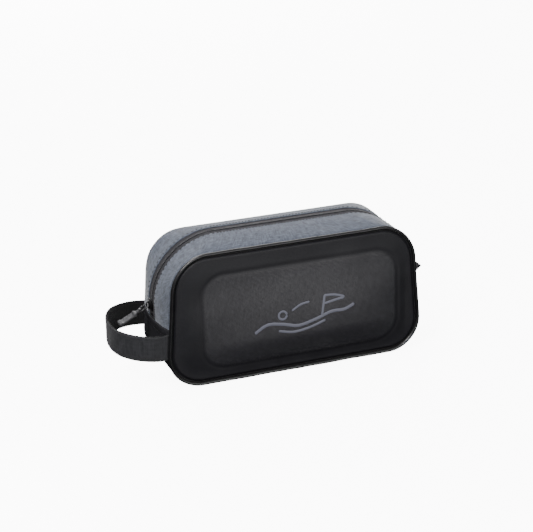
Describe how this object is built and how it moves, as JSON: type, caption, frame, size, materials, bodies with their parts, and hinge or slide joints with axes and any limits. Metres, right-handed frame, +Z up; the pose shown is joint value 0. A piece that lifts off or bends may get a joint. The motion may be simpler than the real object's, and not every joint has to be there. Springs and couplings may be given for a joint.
{
  "type": "golf shoe bag",
  "caption": "Soft zipped bag for a pair of golf shoes: moulded front panel, padded shell, arched zip opening and a webbing carry loop at one end.",
  "frame": {"origin": "middle of the flat underside, half way between the front and rear panels", "axes": "+X to the right seen from the front, away from the carry loop; +Y to the rear; +Z up; the bag stands on its underside"},
  "size_m": [0.4187, 0.1156, 0.1814],
  "materials": {
    "panel_skin": "matt black moulded shell with a fine grid emboss and a soft sheen",
    "foam": "open-cell padding",
    "lining_cloth": "thin woven lining",
    "piping_vinyl": "satin black vinyl over cord",
    "binding_tape": "matt woven tape",
    "melange_cloth": "heather grey-blue woven cloth",
    "base_cloth": "matt black woven cloth",
    "zip_tape": "dark charcoal woven tape",
    "zip_coil": "dark nylon coil",
    "black_metal": "satin black lacquer",
    "moulded_rubber": "matt soft-touch moulding",
    "webbing": "woven webbing"
  },
  "bodies": {
    "root": {"rear_panel": "panel_skin", "rear_foam": "foam", "rear_panel_lining": "lining_cloth", "rear_piping": "piping_vinyl", "rear_binding": "binding_tape", "rear_gusset": "melange_cloth", "rear_gusset_lining": "lining_cloth", "rear_zip_tape": "zip_tape", "rear_zip_coil": "zip_coil", "rear_zip_top_stop": "black_metal", "base_gusset": "base_cloth", "base_foam": "foam", "base_lining": "lining_cloth", "front_panel_lower": "panel_skin", "front_foam_lower": "foam", "front_panel_lining_lower": "lining_cloth", "front_piping_lower": "piping_vinyl", "front_binding_lower": "binding_tape", "zip_bottom_stop": "black_metal", "zip_end_tab": "base_cloth", "strap_anchor_front": "webbing", "strap_anchor_rear": "webbing"},
    "front_half": {"front_panel_upper": "panel_skin", "front_foam_upper": "foam", "front_panel_lining_upper": "lining_cloth", "front_piping_upper": "piping_vinyl", "front_binding_upper": "binding_tape", "front_gusset": "melange_cloth", "front_gusset_lining": "lining_cloth", "front_zip_tape": "zip_tape", "front_zip_coil": "zip_coil", "front_zip_top_stop": "black_metal"},
    "slider": {"zip_slider": "black_metal"},
    "pull_link": {"zip_pull_link": "black_metal"},
    "pull_tab": {"zip_pull_tab": "moulded_rubber"},
    "handle": {"strap_loop": "webbing", "strap_backing": "webbing"}
  },
  "joints": [
    {"name": "front_open", "type": "hinge", "parent": "root", "child": "front_half", "pos_m": [0, -0.0603, 0.077], "axis": [1, 0, 0], "range_deg": [0, 30]},
    {"name": "slider_travel", "type": "hinge", "parent": "root", "child": "slider", "pos_m": [-0.0858, 0, 0.0961], "axis": [0, 1, 0], "range_deg": [0, 90]},
    {"name": "link_swing", "type": "hinge", "parent": "slider", "child": "pull_link", "pos_m": [-0.1751, 0, 0.0961], "axis": [0, 1, 0], "range_deg": [-60, 60]},
    {"name": "tab_swing", "type": "hinge", "parent": "pull_link", "child": "pull_tab", "pos_m": [-0.18569, 0, 0.09047], "axis": [0, 1, 0], "range_deg": [-5, 50]},
    {"name": "handle_swing", "type": "hinge", "parent": "root", "child": "handle", "pos_m": [-0.19, 0, 0.0615], "axis": [0, 0.9963, 0.0854], "range_deg": [-25, 20]}
  ]
}
